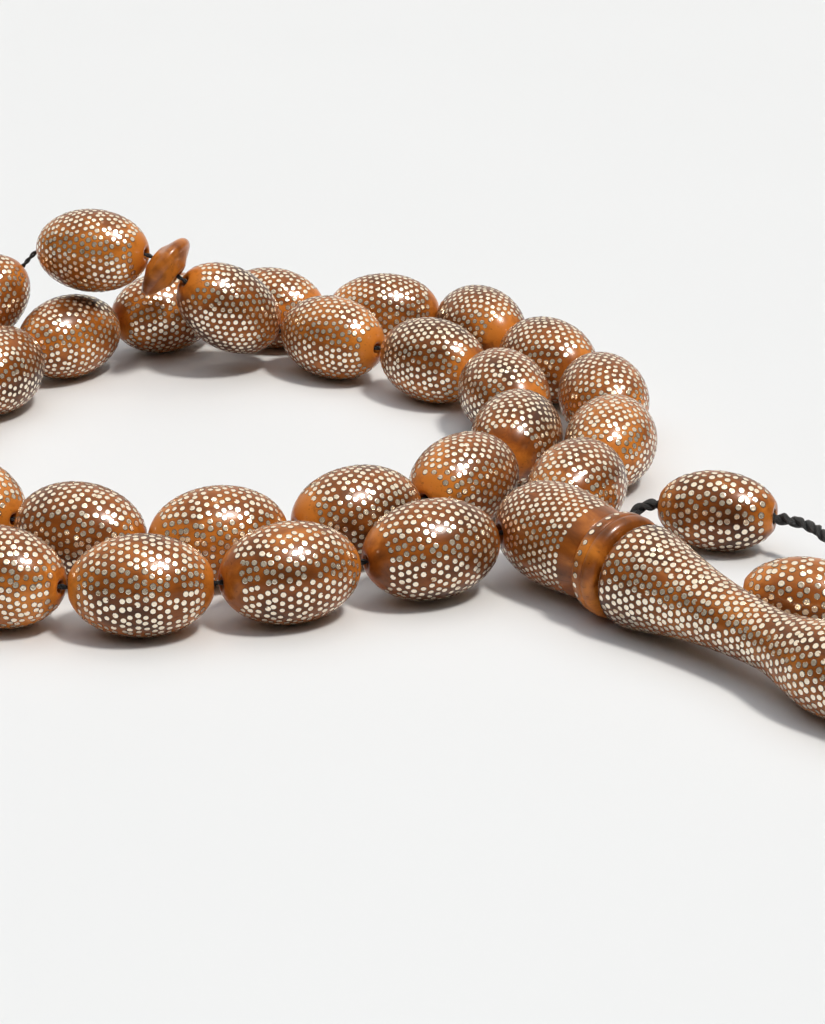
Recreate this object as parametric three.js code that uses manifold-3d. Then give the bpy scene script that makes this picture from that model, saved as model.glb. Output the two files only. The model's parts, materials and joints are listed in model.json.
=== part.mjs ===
import * as THREE from 'three';
import { mergeVertices } from 'three/addons/utils/BufferGeometryUtils.js';
import Module from 'manifold-3d';

const wasm = await Module();
wasm.setup();
const { Manifold, Mesh } = wasm;

// Driving dimensions, in millimetres. Z is up, and the beads lie on z = 0.
const beadDiameter = 10;
const beadLength = 14.2;
const beadEndRadius = 1.15;
const beadSides = 14;
const boreRadius = 0.8;
const stringDiameter = 0.7;
const dividerDiameter = 8.4;
const dividerThickness = 3.6;
const tasselBeadDiameter = 8.3;
const tasselBeadLength = 12.8;
const tasselCordDiameter = 1.1;
const knotDiameter = 2.6;
const gap = 0.3;

// The strand spreads with its beads and dividers, so that neighbours stay apart at
// any size.
const spread = Math.max(beadLength / 14.2, beadDiameter / 10, (dividerThickness + 1.1) / 4.7);
const beadRadius = beadDiameter / 2;
const imamScale = spread;

// The strand, in the order it is strung from one side of the imam round to the
// other. Each row ends one stretch of string: what sits on it, and the point
// where the string turns towards the next. Heights are given for a bead lying flat.
const strandStart = [14.4, 253.9, 5.3];
const strand = [
  ['bead', 19.9, 267.3, 5],
  ['bead', 23.3, 281.5, 5],
  ['bead', 20.2, 295.8, 5],
  ['bead', 11.9, 307.8, 5],
  ['bead', 4.9, 320.6, 5],
  ['string', 3.6, 320.2, 5],
  ['bead', -10.9, 318.9, 5],
  ['bead', -24.3, 325.0, 5],
  ['string', -24.9, 324.4, 5],
  ['bead', -36.9, 316.1, 5],
  ['bead', -46.4, 305.1, 5],
  ['bead', -50.6, 291.3, 5],
  ['bead', -58.0, 278.9, 5],
  ['divider', -58.4, 274.1, 5],
  ['bead', -51.7, 260.8, 5],
  ['bead', -40.0, 252.1, 5],
  ['bead', -26.6, 246.2, 5],
  ['bead', -12.2, 250.2, 5],
  ['bead', 0.9, 257.2, 5],
  ['bead', 9.9, 268.9, 5],
  ['bead', 12.9, 283.2, 5],
  ['bead', 8.1, 297.1, 5],
  ['bead', -3.2, 306.4, 5],
  ['string', -3.9, 305.8, 5],
  ['bead', -15.4, 314.7, 5],
  ['string', -16.9, 314.6, 3.7],
  ['bead', -27.7, 310.0, 12.4],
  ['divider', -31.6, 311.2, 15.2],
  ['bead', -45.7, 315.3, 14.9],
  ['string', -47.2, 314.6, 12.7],
  ['bead', -58.1, 308.1, 5.4],
  ['bead', -68.3, 297.5, 5],
  ['bead', -71.8, 283.2, 5],
  ['bead', -71.3, 268.7, 5],
  ['string', -70.85, 255.8, 5],
  ['bead', -60.7, 245.4, 5],
  ['bead', -46.9, 240.6, 5],
  ['bead', -33.2, 235.3, 5],
  ['bead', -18.7, 236.3, 5],
  ['bead', -5.0, 241.4, 5],
  ['bead', 8.7, 246.9, 5.3],
];

// The imam is a long turned piece, a collar ring and a head bead bored three
// ways. Its axis dips slightly from the collar to the foot, as it lies.
const headPoint = [11.52, 250.43];
const imamHeight = 5.32;
const imamYaw = -51;
const imamDip = 1.8;
const imamBoreRadius = 1.15;
const crossBoreRadius = 0.95;
const crossBoreAt = -14.05;
const headProfile = [
  [0, -17], [1.05, -16.92], [2.5, -16], [4.1, -14], [4.85, -12], [5.15, -10],
  [5.15, -8], [5.0, -6], [4.75, -4], [4.4, -2.3], [0, -2.3],
];
const collarProfile = [
  [imamBoreRadius, -2], [4.7, -2], [5.15, -1.5], [5.3, -0.7], [5.3, 0.1],
  [5.1, 0.7], [4.6, 1.15], [imamBoreRadius, 1.15],
];
const bodyProfile = [
  [imamBoreRadius, 1.45], [4.85, 1.45], [5.1, 1.8], [5.2, 2.5], [5.05, 4],
  [4.62, 6], [4.15, 8], [3.6, 11], [3.22, 14], [3.0, 17], [2.9, 19], [2.95, 20.5],
  [3.2, 22], [3.58, 23.5], [3.93, 25], [4.18, 26.3], [4.25, 27.5], [4.18, 29],
  [3.95, 31], [3.6, 33], [3.2, 35], [2.85, 37], [2.62, 38.8], [2.9, 39.8], [3.1, 40.6],
  [3.0, 41.3], [2.6, 41.8], [imamBoreRadius, 41.8],
];
const imamSides = 24;

// The two cords of the tassel, each from the knot under the imam's foot, round
// and back to its bead. The last point is the cord's knotted end. They keep their
// place from the foot.
const footPoint = [48.5, 204.65];
const tasselRoutes = [
  [
    [50.5, 203.0, 4.5], [53.0, 201.9, 3.6], [55.8, 203.3, 2.3], [58.2, 207.7, 1.3],
    [59.0, 214.0, 0.9], [58.2, 220.6, 0.8], [56.0, 227.0, 1.0], [52.6, 233.0, 1.8],
    [48.4, 238.4, 2.9], [45.0, 243.2, 3.8], [42.1, 248.0, 4.3], [40.1, 251.9, 4.5],
    [37.4, 254.5, 4.2], [31.4, 256.7, 4.15], [25.2, 258.8, 4.0], [24.4, 258.9, 3.9],
    [23.5, 258.8, 3.5], [22.8, 258.4, 2.9], [22.5, 257.8, 2.3], [22.4, 256.9, 1.6],
    [22.5, 255.7, 1.1], [23.0, 254.5, 0.9], [23.7, 253.4, 0.9],
  ],
  [
    [49.0, 202.2, 2.8], [50.7, 200.7, 1.9], [52.8, 201.3, 1.1], [53.8, 204.6, 0.9],
    [53.0, 209.6, 0.8], [52.4, 214.6, 0.8], [52.3, 219.6, 1.1], [51.8, 224.2, 2.0],
    [50.2, 228.2, 3.1], [47.6, 231.1, 3.9], [43.9, 232.7, 4.15], [37.5, 234.2, 4.15],
    [31.3, 235.65, 4.2], [30.2, 236.2, 4.1], [29.2, 237.2, 3.6], [28.5, 238.5, 2.8],
    [28.3, 240.0, 2.0], [28.6, 241.4, 1.5],
  ],
];
const tasselBeadAt = [13, 11];
const tasselBeadAxes = [[-11.7, 4.1, -0.3], [-12.0, 2.8, 0.1]];

const group = new THREE.Group();
group.name = 'misbaha';
const up = new THREE.Vector3(0, 0, 1);

function material(name, color, roughness) {
  return new THREE.MeshStandardMaterial({ name, color, roughness, metalness: 0 });
}

function addPiece(name, geometry, look) {
  const mesh = new THREE.Mesh(geometry, material(`${name}_${look.name}`, look.color, look.roughness));
  mesh.name = name;
  group.add(mesh);
  return mesh;
}

const wood = { name: 'wood', color: 0xa4622c, roughness: 0.35 };
const dark = { name: 'cord', color: 0x17130f, roughness: 0.8 };

// Turns a solid about +Y to lie along a direction, with its first side facing down.
function placed(geometry, point, direction) {
  const y = direction.clone().normalize();
  const down = up.clone().negate();
  const z = down.addScaledVector(y, -down.dot(y)).normalize();
  const x = new THREE.Vector3().crossVectors(y, z);
  const turn = new THREE.Matrix4().makeBasis(x, y, z).setPosition(point);
  return geometry.applyMatrix4(turn);
}

function turned(points, sides) {
  return new THREE.LatheGeometry(points.map(([r, s]) => new THREE.Vector2(r, s)), sides);
}

function toManifold(geometry) {
  const g = geometry.clone();
  g.deleteAttribute('normal');
  g.deleteAttribute('uv');
  const m = mergeVertices(g, 1e-4);
  return new Manifold(new Mesh({
    numProp: 3,
    vertProperties: new Float32Array(m.attributes.position.array),
    triVerts: new Uint32Array(m.index.array),
  }));
}

function fromManifold(solid) {
  const mesh = solid.getMesh();
  const g = new THREE.BufferGeometry();
  g.setAttribute('position', new THREE.BufferAttribute(new Float32Array(mesh.vertProperties), 3));
  g.setIndex(new THREE.BufferAttribute(new Uint32Array(mesh.triVerts), 1));
  return g;
}

// An egg-shaped bead with a round bore through it and a small flat at each end.
function beadGeometry(diameter, length, bore, endRadius, sides, steps) {
  const half = length / 2;
  const r = diameter / 2;
  const last = Math.acos(endRadius / r);
  const points = [];
  for (let i = 0; i <= steps; i++) {
    const a = -last + (2 * last * i) / steps;
    points.push([r * Math.cos(a), half * Math.sin(a)]);
  }
  const end = half * Math.sin(last);
  points.push([bore, end], [bore, -end], points[0]);
  return turned(points, sides);
}

function dividerGeometry() {
  const r = dividerDiameter / 2;
  const h = dividerThickness / 2;
  const profile = [
    [boreRadius, -h], [1.7, -h], [2.6, -0.62 * h], [0.86 * r, -0.3 * h], [0.97 * r, -0.14 * h],
    [r, 0], [0.97 * r, 0.14 * h], [0.86 * r, 0.3 * h], [2.6, 0.62 * h], [1.7, h],
    [boreRadius, h], [boreRadius, -h],
  ];
  return turned(profile, 20);
}

// A line through chosen points with one ring of the tube at each of them.
class ThroughPoints extends THREE.Curve {
  constructor(points) {
    super();
    this.points = points;
  }

  getPoint(t, target = new THREE.Vector3()) {
    const x = Math.min(Math.max(t, 0), 1) * (this.points.length - 1);
    const i = Math.min(Math.floor(x), this.points.length - 2);
    return target.lerpVectors(this.points[i], this.points[i + 1], x - i);
  }

  getPointAt(u, target) {
    return this.getPoint(u, target);
  }

  getTangent(t, target = new THREE.Vector3()) {
    const n = this.points.length;
    const i = Math.round(Math.min(Math.max(t, 0), 1) * (n - 1));
    const before = this.points[Math.max(i - 1, 0)];
    const here = this.points[i];
    const after = this.points[Math.min(i + 1, n - 1)];
    const a = here.clone().sub(before).normalize();
    const b = after.clone().sub(here).normalize();
    return target.addVectors(a, b).normalize();
  }

  getTangentAt(u, target) {
    return this.getTangent(u, target);
  }
}

function roundSection(diameter, sides) {
  const shape = new THREE.Shape();
  for (let i = 0; i < sides; i++) {
    const a = (2 * Math.PI * (i + 0.5)) / sides;
    const x = (diameter / 2) * Math.cos(a);
    const y = (diameter / 2) * Math.sin(a);
    if (i === 0) shape.moveTo(x, y);
    else shape.lineTo(x, y);
  }
  shape.closePath();
  return shape;
}

function tube(curve, diameter, sides, steps) {
  return new THREE.ExtrudeGeometry(roundSection(diameter, sides), {
    steps,
    extrudePath: curve,
    bevelEnabled: false,
  });
}

// The strand's turning points, spread with the bead size.
function spreadPoint([x, y, z]) {
  return new THREE.Vector3(x * spread, y * spread, beadRadius + (z - 5) * spread);
}

const start = spreadPoint(strandStart);
const turns = strand.map(([what, ...p]) => ({ what, end: spreadPoint(p) }));
const yaw = THREE.MathUtils.degToRad(imamYaw);
const dip = THREE.MathUtils.degToRad(imamDip);
const imamAxis = new THREE.Vector3(
  Math.cos(yaw) * Math.cos(dip), Math.sin(yaw) * Math.cos(dip), -Math.sin(dip),
);
const imamOrigin = spreadPoint([...headPoint, 5]).addScaledVector(imamAxis, -crossBoreAt * imamScale);
imamOrigin.z = imamHeight * imamScale;
const alongImam = (s) => imamOrigin.clone().addScaledVector(imamAxis, s * imamScale);
// The string's ends leave the head at the height of the bore that crosses it.
start.z = alongImam(crossBoreAt).z - 0.3;
turns[turns.length - 1].end.z = start.z;
const scaled = (profile) => profile.map(([r, s]) => [r * imamScale, s * imamScale]);
const closed = (profile) => [...profile, profile[0]];

// Beads, dividers and the string's own points from one side of the imam to the other.
const stringPoints = [];
let from = start;
let beads = 0;
let dividers = 0;
for (const { what, end } of turns) {
  const along = end.clone().sub(from).normalize();
  const middle = from.clone().add(end).multiplyScalar(0.5);
  stringPoints.push(from);
  if (what === 'bead') {
    beads += 1;
    const name = `bead_${String(beads).padStart(2, '0')}`;
    const shape = beadGeometry(beadDiameter, beadLength, boreRadius, beadEndRadius, beadSides, 8);
    addPiece(name, placed(shape, middle, along), wood);
    const reach = 0.43 * beadLength;
    stringPoints.push(middle.clone().addScaledVector(along, -reach));
    stringPoints.push(middle.clone().addScaledVector(along, reach));
  } else if (what === 'divider') {
    dividers += 1;
    middle.z = Math.max(middle.z, dividerDiameter / 2);
    addPiece(`divider_${dividers}`, placed(dividerGeometry(), middle, along), wood);
    stringPoints.push(middle);
  }
  from = end;
}
stringPoints.push(from);

// The imam's head, bored along its axis as far as the bore that crosses it.
const headTurned = placed(turned(scaled(headProfile), imamSides), imamOrigin, imamAxis);
const crossing = alongImam(crossBoreAt);
const crossWay = start.clone().sub(from).normalize();
const axialBore = placed(
  new THREE.CylinderGeometry(imamBoreRadius, imamBoreRadius, (-1 - crossBoreAt) * imamScale, 16),
  alongImam((crossBoreAt - 1) / 2), imamAxis,
);
const crossBore = placed(
  new THREE.CylinderGeometry(crossBoreRadius, crossBoreRadius, 14 * imamScale, 16), crossing, crossWay,
);
const head = toManifold(headTurned).subtract(toManifold(axialBore)).subtract(toManifold(crossBore));
addPiece('imam_head', fromManifold(head), wood);
const collarShape = closed(scaled(collarProfile).map(([r, s], i, all) => (
  i === 0 || i === all.length - 1 ? [imamBoreRadius, s] : [r, s])));
addPiece('imam_collar', placed(turned(collarShape, imamSides), imamOrigin, imamAxis), wood);
const bodyShape = closed(scaled(bodyProfile).map(([r, s], i, all) => (
  i === 0 || i === all.length - 1 ? [imamBoreRadius, s] : [r, s])));
addPiece('imam_body', placed(turned(bodyShape, imamSides), imamOrigin, imamAxis), wood);

// Both ends of the string turn in the head and run down to the knot at the foot.
const side = new THREE.Vector3().crossVectors(imamAxis, up).normalize();
if (side.dot(crossWay) < 0) side.negate();
const footEnd = bodyProfile[bodyProfile.length - 1][1];
function lead(sign) {
  const outwards = crossWay.clone().multiplyScalar(sign);
  const beside = side.clone().multiplyScalar(sign * (stringDiameter / 2 + 0.1));
  const points = [crossing.clone().addScaledVector(outwards, 2.4)];
  points.push(crossing.clone().addScaledVector(outwards, 1.0).addScaledVector(imamAxis, 0.12));
  points.push(crossing.clone().add(beside).addScaledVector(imamAxis, 0.75));
  for (const s of [-10, -2.2, 1.3, 20, footEnd + 0.6]) points.push(alongImam(s).add(beside));
  return points;
}
const wholeString = [...lead(1).reverse(), ...stringPoints, ...lead(-1)];
addPiece('loop_string', tube(new ThroughPoints(wholeString), stringDiameter, 8, wholeString.length - 1), dark);

function knot(name, point, direction, diameter) {
  const r = diameter / 2;
  const profile = [];
  for (let i = 0; i <= 8; i++) {
    const a = -Math.PI / 2 + (Math.PI * i) / 8;
    profile.push([i % 8 === 0 ? 0 : r * Math.cos(a), 0.9 * r * Math.sin(a)]);
  }
  addPiece(name, placed(turned(profile, 12), point, direction), dark);
}

const footKnotDiameter = 4;
const footKnotAt = alongImam(footEnd).addScaledVector(imamAxis, 0.6 + 2 * gap + 0.45 * footKnotDiameter);
knot('foot_knot', footKnotAt, imamAxis, footKnotDiameter);

// The tassel's cords, each with one small bead and a knotted end.
tasselRoutes.forEach((route, i) => {
  const points = route.map(([x, y, z]) => new THREE.Vector3(
    footKnotAt.x + (x - footPoint[0]) * spread, footKnotAt.y + (y - footPoint[1]) * spread, z));
  const curve = new THREE.CatmullRomCurve3(points, false, 'centripetal');
  addPiece(`tassel_cord_${i + 1}`, tube(curve, tasselCordDiameter, 8, 44), dark);
  const shape = beadGeometry(
    tasselBeadDiameter, tasselBeadLength, tasselCordDiameter / 2 + 0.4, 1.5, 16, 8,
  );
  const axis = new THREE.Vector3(...tasselBeadAxes[i]);
  addPiece(`tassel_bead_${i + 1}`, placed(shape, points[tasselBeadAt[i]], axis), wood);
  const last = points[points.length - 1];
  const out = last.clone().sub(points[points.length - 2]).normalize();
  const centre = last.clone().addScaledVector(out, 0.45 * knotDiameter + 0.4);
  centre.z = Math.max(centre.z, knotDiameter / 2 + 0.02);
  knot(`tassel_knot_${i + 1}`, centre, out, knotDiameter);
});

// The origin is at the middle of the beads' footprint, on the surface they lie on.
const onCord = (mesh) => mesh.name.startsWith('tassel_');
const box = new THREE.Box3();
for (const mesh of group.children) {
  mesh.geometry.computeBoundingBox();
  if (!onCord(mesh)) box.union(mesh.geometry.boundingBox);
}
const middle = box.getCenter(new THREE.Vector3());
for (const mesh of group.children) {
  mesh.geometry.translate(-middle.x, -middle.y, 0);
  mesh.geometry.deleteAttribute('uv');
  mesh.geometry.computeVertexNormals();
}

export default group;
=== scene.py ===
import json
import math

import bmesh
import bpy
import numpy as np
from bpy.props import (FloatProperty, FloatVectorProperty, IntProperty,
                       PointerProperty)
from mathutils import Matrix, Vector, noise

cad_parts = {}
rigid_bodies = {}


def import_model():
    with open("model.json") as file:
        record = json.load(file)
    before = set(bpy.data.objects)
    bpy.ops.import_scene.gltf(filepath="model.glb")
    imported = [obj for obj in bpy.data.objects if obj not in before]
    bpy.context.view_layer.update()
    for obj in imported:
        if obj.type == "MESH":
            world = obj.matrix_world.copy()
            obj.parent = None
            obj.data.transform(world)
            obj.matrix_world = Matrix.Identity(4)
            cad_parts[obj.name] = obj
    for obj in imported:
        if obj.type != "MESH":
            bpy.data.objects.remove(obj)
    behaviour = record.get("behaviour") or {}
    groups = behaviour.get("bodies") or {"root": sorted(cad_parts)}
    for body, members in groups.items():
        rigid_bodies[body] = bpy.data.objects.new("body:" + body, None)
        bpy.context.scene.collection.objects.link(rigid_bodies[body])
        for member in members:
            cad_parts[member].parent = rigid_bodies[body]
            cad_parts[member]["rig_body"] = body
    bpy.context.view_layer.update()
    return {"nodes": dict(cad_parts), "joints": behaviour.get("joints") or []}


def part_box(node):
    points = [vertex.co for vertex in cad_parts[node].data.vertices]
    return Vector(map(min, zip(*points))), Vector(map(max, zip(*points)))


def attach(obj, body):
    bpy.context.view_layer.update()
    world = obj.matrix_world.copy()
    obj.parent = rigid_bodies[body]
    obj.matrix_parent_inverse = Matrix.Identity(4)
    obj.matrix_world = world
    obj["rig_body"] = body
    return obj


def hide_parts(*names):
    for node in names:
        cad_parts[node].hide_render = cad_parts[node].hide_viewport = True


bl_info = {
    "name": "Inlaid Prayer Beads",
    "version": (1, 0, 0),
    "blender": (4, 5, 0),
    "location": "View3D > Sidebar > Beads",
    "description": "Builds a strand of pin-inlaid wooden prayer beads around its packed solids",
    "category": "Object",
}

MM = 0.001
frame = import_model()
JOINTS = {j["child"]: j for j in frame["joints"]}
COLLAR_JOINT = JOINTS["imam_collar"]
BEADS = sorted(n for n in frame["nodes"] if n.startswith("bead_"))
made = {}


# ---- settings

class BeadSizes(bpy.types.PropertyGroup):
    bead_diameter: FloatProperty(
        name="Bead diameter", description="Across a main bead",
        default=0.010, unit="LENGTH")
    bead_length: FloatProperty(
        name="Bead length", description="Length of the egg that a main bead is turned from",
        default=0.0142, unit="LENGTH")
    end_radius: FloatProperty(
        name="End flat", description="Radius of the flat round a bead's bore",
        default=0.00115, unit="LENGTH")
    bore_radius: FloatProperty(
        name="Bore radius", description="Radius of the string hole",
        default=0.0006, unit="LENGTH")
    tassel_diameter: FloatProperty(
        name="Tassel bead diameter", description="Across a tassel bead",
        default=0.0083, unit="LENGTH")
    tassel_length: FloatProperty(
        name="Tassel bead length", description="Length of the egg that a tassel bead is turned from",
        default=0.0128, unit="LENGTH")
    divider_diameter: FloatProperty(
        name="Divider diameter", description="Across a divider disc",
        default=0.0084, unit="LENGTH")
    divider_thickness: FloatProperty(
        name="Divider thickness", description="Thickness of a divider disc at its hub",
        default=0.0036, unit="LENGTH")
    string_diameter: FloatProperty(
        name="String diameter", description="Thickness of the main string",
        default=0.0007, unit="LENGTH")
    cord_diameter: FloatProperty(
        name="Tassel cord diameter", description="Thickness of a tassel cord",
        default=0.0011, unit="LENGTH")


class InlayLook(bpy.types.PropertyGroup):
    pin_radius: FloatProperty(
        name="Pin radius", description="Radius of a silver pin",
        default=0.00028, unit="LENGTH")
    pitch: FloatProperty(
        name="Pin pitch", description="Distance between neighbouring pins",
        default=0.00089, unit="LENGTH")
    wander: FloatProperty(
        name="Wander", description="How far a pin may sit from its place, as a share of the pitch",
        default=0.075, min=0, max=0.4)
    seed: IntProperty(name="Seed", description="Starts the hand-set irregularity", default=11)
    wood: FloatVectorProperty(
        name="Wood", description="Main colour of the wood",
        subtype="COLOR", default=(0.30, 0.080, 0.009), min=0, max=1)
    wood_dark: FloatVectorProperty(
        name="Dark wood", description="Colour of the dark figure in the wood",
        subtype="COLOR", default=(0.068, 0.019, 0.004), min=0, max=1)
    wood_light: FloatVectorProperty(
        name="Light wood", description="Colour of the pale figure in the wood",
        subtype="COLOR", default=(0.64, 0.205, 0.026), min=0, max=1)
    silver: FloatVectorProperty(
        name="Silver", description="Colour of the pins",
        subtype="COLOR", default=(1.0, 0.88, 0.70), min=0, max=1)
    thread: FloatVectorProperty(
        name="Thread", description="Colour of string and cords",
        subtype="COLOR", default=(0.0065, 0.0062, 0.006), min=0, max=1)


# ---- materials

# Which output of a node is wanted.
ATTRIBUTE_VECTOR, ATTRIBUTE_VALUE, OBJECT_PLACE = 1, 2, 3


class Num:
    """A number that varies over a surface, with the signs of arithmetic that are used here."""

    def __init__(self, nodes, socket):
        self.n = nodes
        self.s = socket

    def _op(self, what, a, b):
        return self.n.add("ShaderNodeMath", {"operation": what}, {0: a, 1: b})

    def __add__(self, other):
        return self._op("ADD", self, other)

    def __radd__(self, other):
        return self._op("ADD", other, self)

    def __sub__(self, other):
        return self._op("SUBTRACT", self, other)

    def __mul__(self, other):
        return self._op("MULTIPLY", self, other)

    def clip(self):
        return self.n.add("ShaderNodeClamp", {}, {0: self})


class Finish:
    """One material, or the world, and the nodes in it."""

    def __init__(self, name, blocks="materials", shader="ShaderNodeBsdfPrincipled",
                 out="ShaderNodeOutputMaterial"):
        self.mat = getattr(bpy.data, blocks).new(name)
        self.mat.use_nodes = True
        self.tree = self.mat.node_tree
        self.tree.nodes.clear()
        self.shader = self.tree.nodes.new(shader)
        end = self.tree.nodes.new(out)
        self.tree.links.new(self.shader.outputs[0], end.inputs[0])

    def add(self, kind, settings, given, out=0):
        """Adds a node with its settings and what its sockets are given, and returns one of its outputs."""
        node = self.tree.nodes.new(kind)
        for key, value in settings.items():
            if key == "stops":
                self.set_stops(node.color_ramp, value)
            else:
                setattr(node, key, value)
        for key, value in given.items():
            self.put(node.inputs[key], value)
        return Num(self, node.outputs[out])

    def set_stops(self, ramp, stops):
        while len(ramp.elements) > 1:
            ramp.elements.remove(ramp.elements[-1])
        ramp.elements[0].position, ramp.elements[0].color = stops[0]
        for at, color in stops[1:]:
            ramp.elements.new(at).color = color

    def put(self, socket, value):
        if isinstance(value, Num):
            self.tree.links.new(value.s, socket)
        else:
            socket.default_value = value

    def set(self, **given):
        for key, value in given.items():
            self.put(self.shader.inputs[key.replace("_", " ")], value)

    def noise(self, vector, scale, detail=2.0, roughness=0.5, distortion=0.0):
        given = {"Vector": vector, "Scale": scale, "Detail": detail, "Roughness": roughness,
                 "Distortion": distortion}
        return self.add("ShaderNodeTexNoise", {}, given)

    def ramp(self, value, *stops):
        return self.add("ShaderNodeValToRGB", {"stops": [(at, (*c, 1)) for at, c in stops]}, {0: value})

    def step(self, value, low, high):
        """Rises softly from 0 to 1 as the value goes from low to high."""
        return self.add("ShaderNodeMapRange", {"clamp": True, "interpolation_type": "SMOOTHSTEP"},
                        {"Value": value, "From Min": low, "From Max": high})

    def mix(self, share, a, b):
        return self.add("ShaderNodeMix", {"data_type": "RGBA", "blend_type": "MIX"},
                        {0: share, 6: a, 7: b}, out=2)

    def bump(self, height, distance, strength):
        return self.add("ShaderNodeBump", {}, {"Height": height, "Distance": distance, "Strength": strength})


def rgba(color, share):
    """A darker share of a colour, as a socket takes it."""
    return (*(c * share for c in color), 1)


def stretched(f, source, x, y, z):
    """A place with its directions scaled, so that a noise read from it is drawn out."""
    return f.add("ShaderNodeVectorMath", {"operation": "MULTIPLY"}, {0: source, 1: (x, y, z)})


def wood_finish(look):
    """Oiled and polished nut wood: long soft figure, dark flecks, a few pores."""
    f = Finish("polished_wood")
    place = f.add("ShaderNodeAttribute", {"attribute_name": "turned"}, {}, ATTRIBUTE_VECTOR)
    tone = f.add("ShaderNodeAttribute", {"attribute_name": "tone"}, {}, ATTRIBUTE_VALUE)
    broad = f.noise(stretched(f, place, 1, 1, 0.6), 160, 2, 0.5, 0.6)
    figure = f.noise(stretched(f, place, 1, 1, 0.10), 900, 3, 0.6, 0.4)
    blotch = f.noise(stretched(f, place, 1, 1, 0.5), 420, 3, 0.6, 1.0)
    shade = ((broad - 0.5) * 1.2 + (figure - 0.5) * 0.42 + (blotch - 0.5) * 0.35 + 0.5 + tone).clip()
    dark, mid, light = look.wood_dark, look.wood, look.wood_light
    between = [d * 0.5 + m * 0.5 for d, m in zip(dark, mid)]
    base = f.ramp(shade, (0.20, dark), (0.38, between), (0.54, mid), (0.80, light))
    pores = f.step(f.noise(stretched(f, place, 1, 1, 0.16), 2600, 2, 0.6), 0.62, 0.72)
    fleck = f.step(f.noise(stretched(f, place, 1, 1, 0.5), 1300, 3, 0.7), 0.66, 0.76)
    base = f.mix(pores * 0.35, base, rgba(dark, 0.8))
    base = f.mix(fleck * 0.55, base, rgba(dark, 0.5))
    f.set(Base_Color=base, Roughness=0.26 + pores * 0.2 + blotch * 0.12, Specular_IOR_Level=0.18)
    f.set(Coat_Weight=0.42, Coat_Roughness=0.09, Coat_IOR=1.42)
    f.set(Normal=f.bump(pores * -1.0 + blotch * 0.4, 0.000012, 0.5))
    return f.mat


def silver_finish(look):
    """Silver wire ends, polished level with the wood, some a little tarnished."""
    f = Finish("silver_pin")
    place = f.add("ShaderNodeTexCoord", {}, {}, OBJECT_PLACE)
    tarnish = f.noise(place, 700, 2, 0.5)
    scratch = f.noise(place, 5200, 3, 0.6)
    dull = [c * k for c, k in zip(look.silver, (0.60, 0.50, 0.40))]
    used = [c * 0.96 for c in look.silver]
    base = f.ramp(tarnish + scratch * 0.25 - 0.125, (0.24, dull), (0.40, used), (0.60, look.silver))
    f.set(Base_Color=base, Metallic=0.82, Roughness=0.16 + scratch * 0.14)
    f.set(Normal=f.bump(scratch, 0.000012, 0.6))
    return f.mat


def filler_finish(_look):
    """Dark filler packed round each pin."""
    f = Finish("dark_filler")
    place = f.add("ShaderNodeTexCoord", {}, {}, OBJECT_PLACE)
    grit = f.noise(place, 6000, 2, 0.5)
    base = f.ramp(grit, (0.35, (0.020, 0.008, 0.004)), (0.7, (0.060, 0.022, 0.009)))
    f.set(Base_Color=base, Roughness=0.45 + grit * 0.2)
    return f.mat


def thread_finish(look):
    """Black waxed thread: fibres run along each ply, with a few cool glints painted into its colour as
    highlights.
    """
    f = Finish("black_thread")
    along = f.add("ShaderNodeUVMap", {"uv_map": "ply"}, {})
    fibre = f.noise(stretched(f, along, 1, 9, 1), 60, 3, 0.6, 0.6)
    fuzz = f.noise(stretched(f, along, 1, 2, 1), 260, 2, 0.6)
    dark = look.thread
    deep = [c * 0.5 for c in dark]
    # Painted highlight: pale cool streaks in the thread's colour stand in for glints of light on its fibres.
    painted_glint = [c * k for c, k in zip(dark, (15, 18, 21))]
    base = f.ramp(fibre * 0.6 + fuzz * 0.4, (0.40, deep), (0.52, dark), (0.60, painted_glint))
    f.set(Base_Color=base, Roughness=0.26 + fuzz * 0.3)
    f.set(Normal=f.bump(fibre + fuzz * 0.6, 0.00008, 1.0))
    return f.mat


def floor_finish():
    """A smooth pale floor, a little uneven in tone."""
    f = Finish("pale_floor")
    place = f.add("ShaderNodeTexCoord", {}, {}, OBJECT_PLACE)
    soft = f.noise(place, 9, 2, 0.5)
    base = f.ramp(soft, (0.3, (0.796, 0.800, 0.804)), (0.7, (0.808, 0.812, 0.816)))
    f.set(Base_Color=base, Roughness=0.6, Specular_IOR_Level=0.2)
    return f.mat


def studio_world():
    """What shines back from the pieces: a pale room behind and above them, a dim one in front."""
    f = Finish("studio", "worlds", "ShaderNodeBackground", "ShaderNodeOutputWorld")
    way = f.add("ShaderNodeTexCoord", {}, {})
    facing = f.add("ShaderNodeVectorMath", {"operation": "DOT_PRODUCT"}, {0: way, 1: WORLD_BRIGHT_WAY}, out=1)
    f.set(Color=f.mix(f.step(facing, 0.33, 0.74), WORLD_DIM, WORLD_PALE), Strength=1.0)
    return f.mat


# ---- turned shapes

def turned_frame(axis):
    """Turns a piece's own sideways, second sideways and long directions to where they point."""
    z = Vector(axis).normalized()
    side = Vector((0, 0, 1)) if abs(z.z) < 0.9 else Vector((1, 0, 0))
    x = (side - z * side.dot(z)).normalized()
    return Matrix((x, z.cross(x), z)).transposed()


def circle(radius, sides):
    """Points evenly round a circle."""
    turns = [2 * math.pi * k / sides for k in range(sides)]
    return [(radius * math.cos(t), radius * math.sin(t)) for t in turns]


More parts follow.
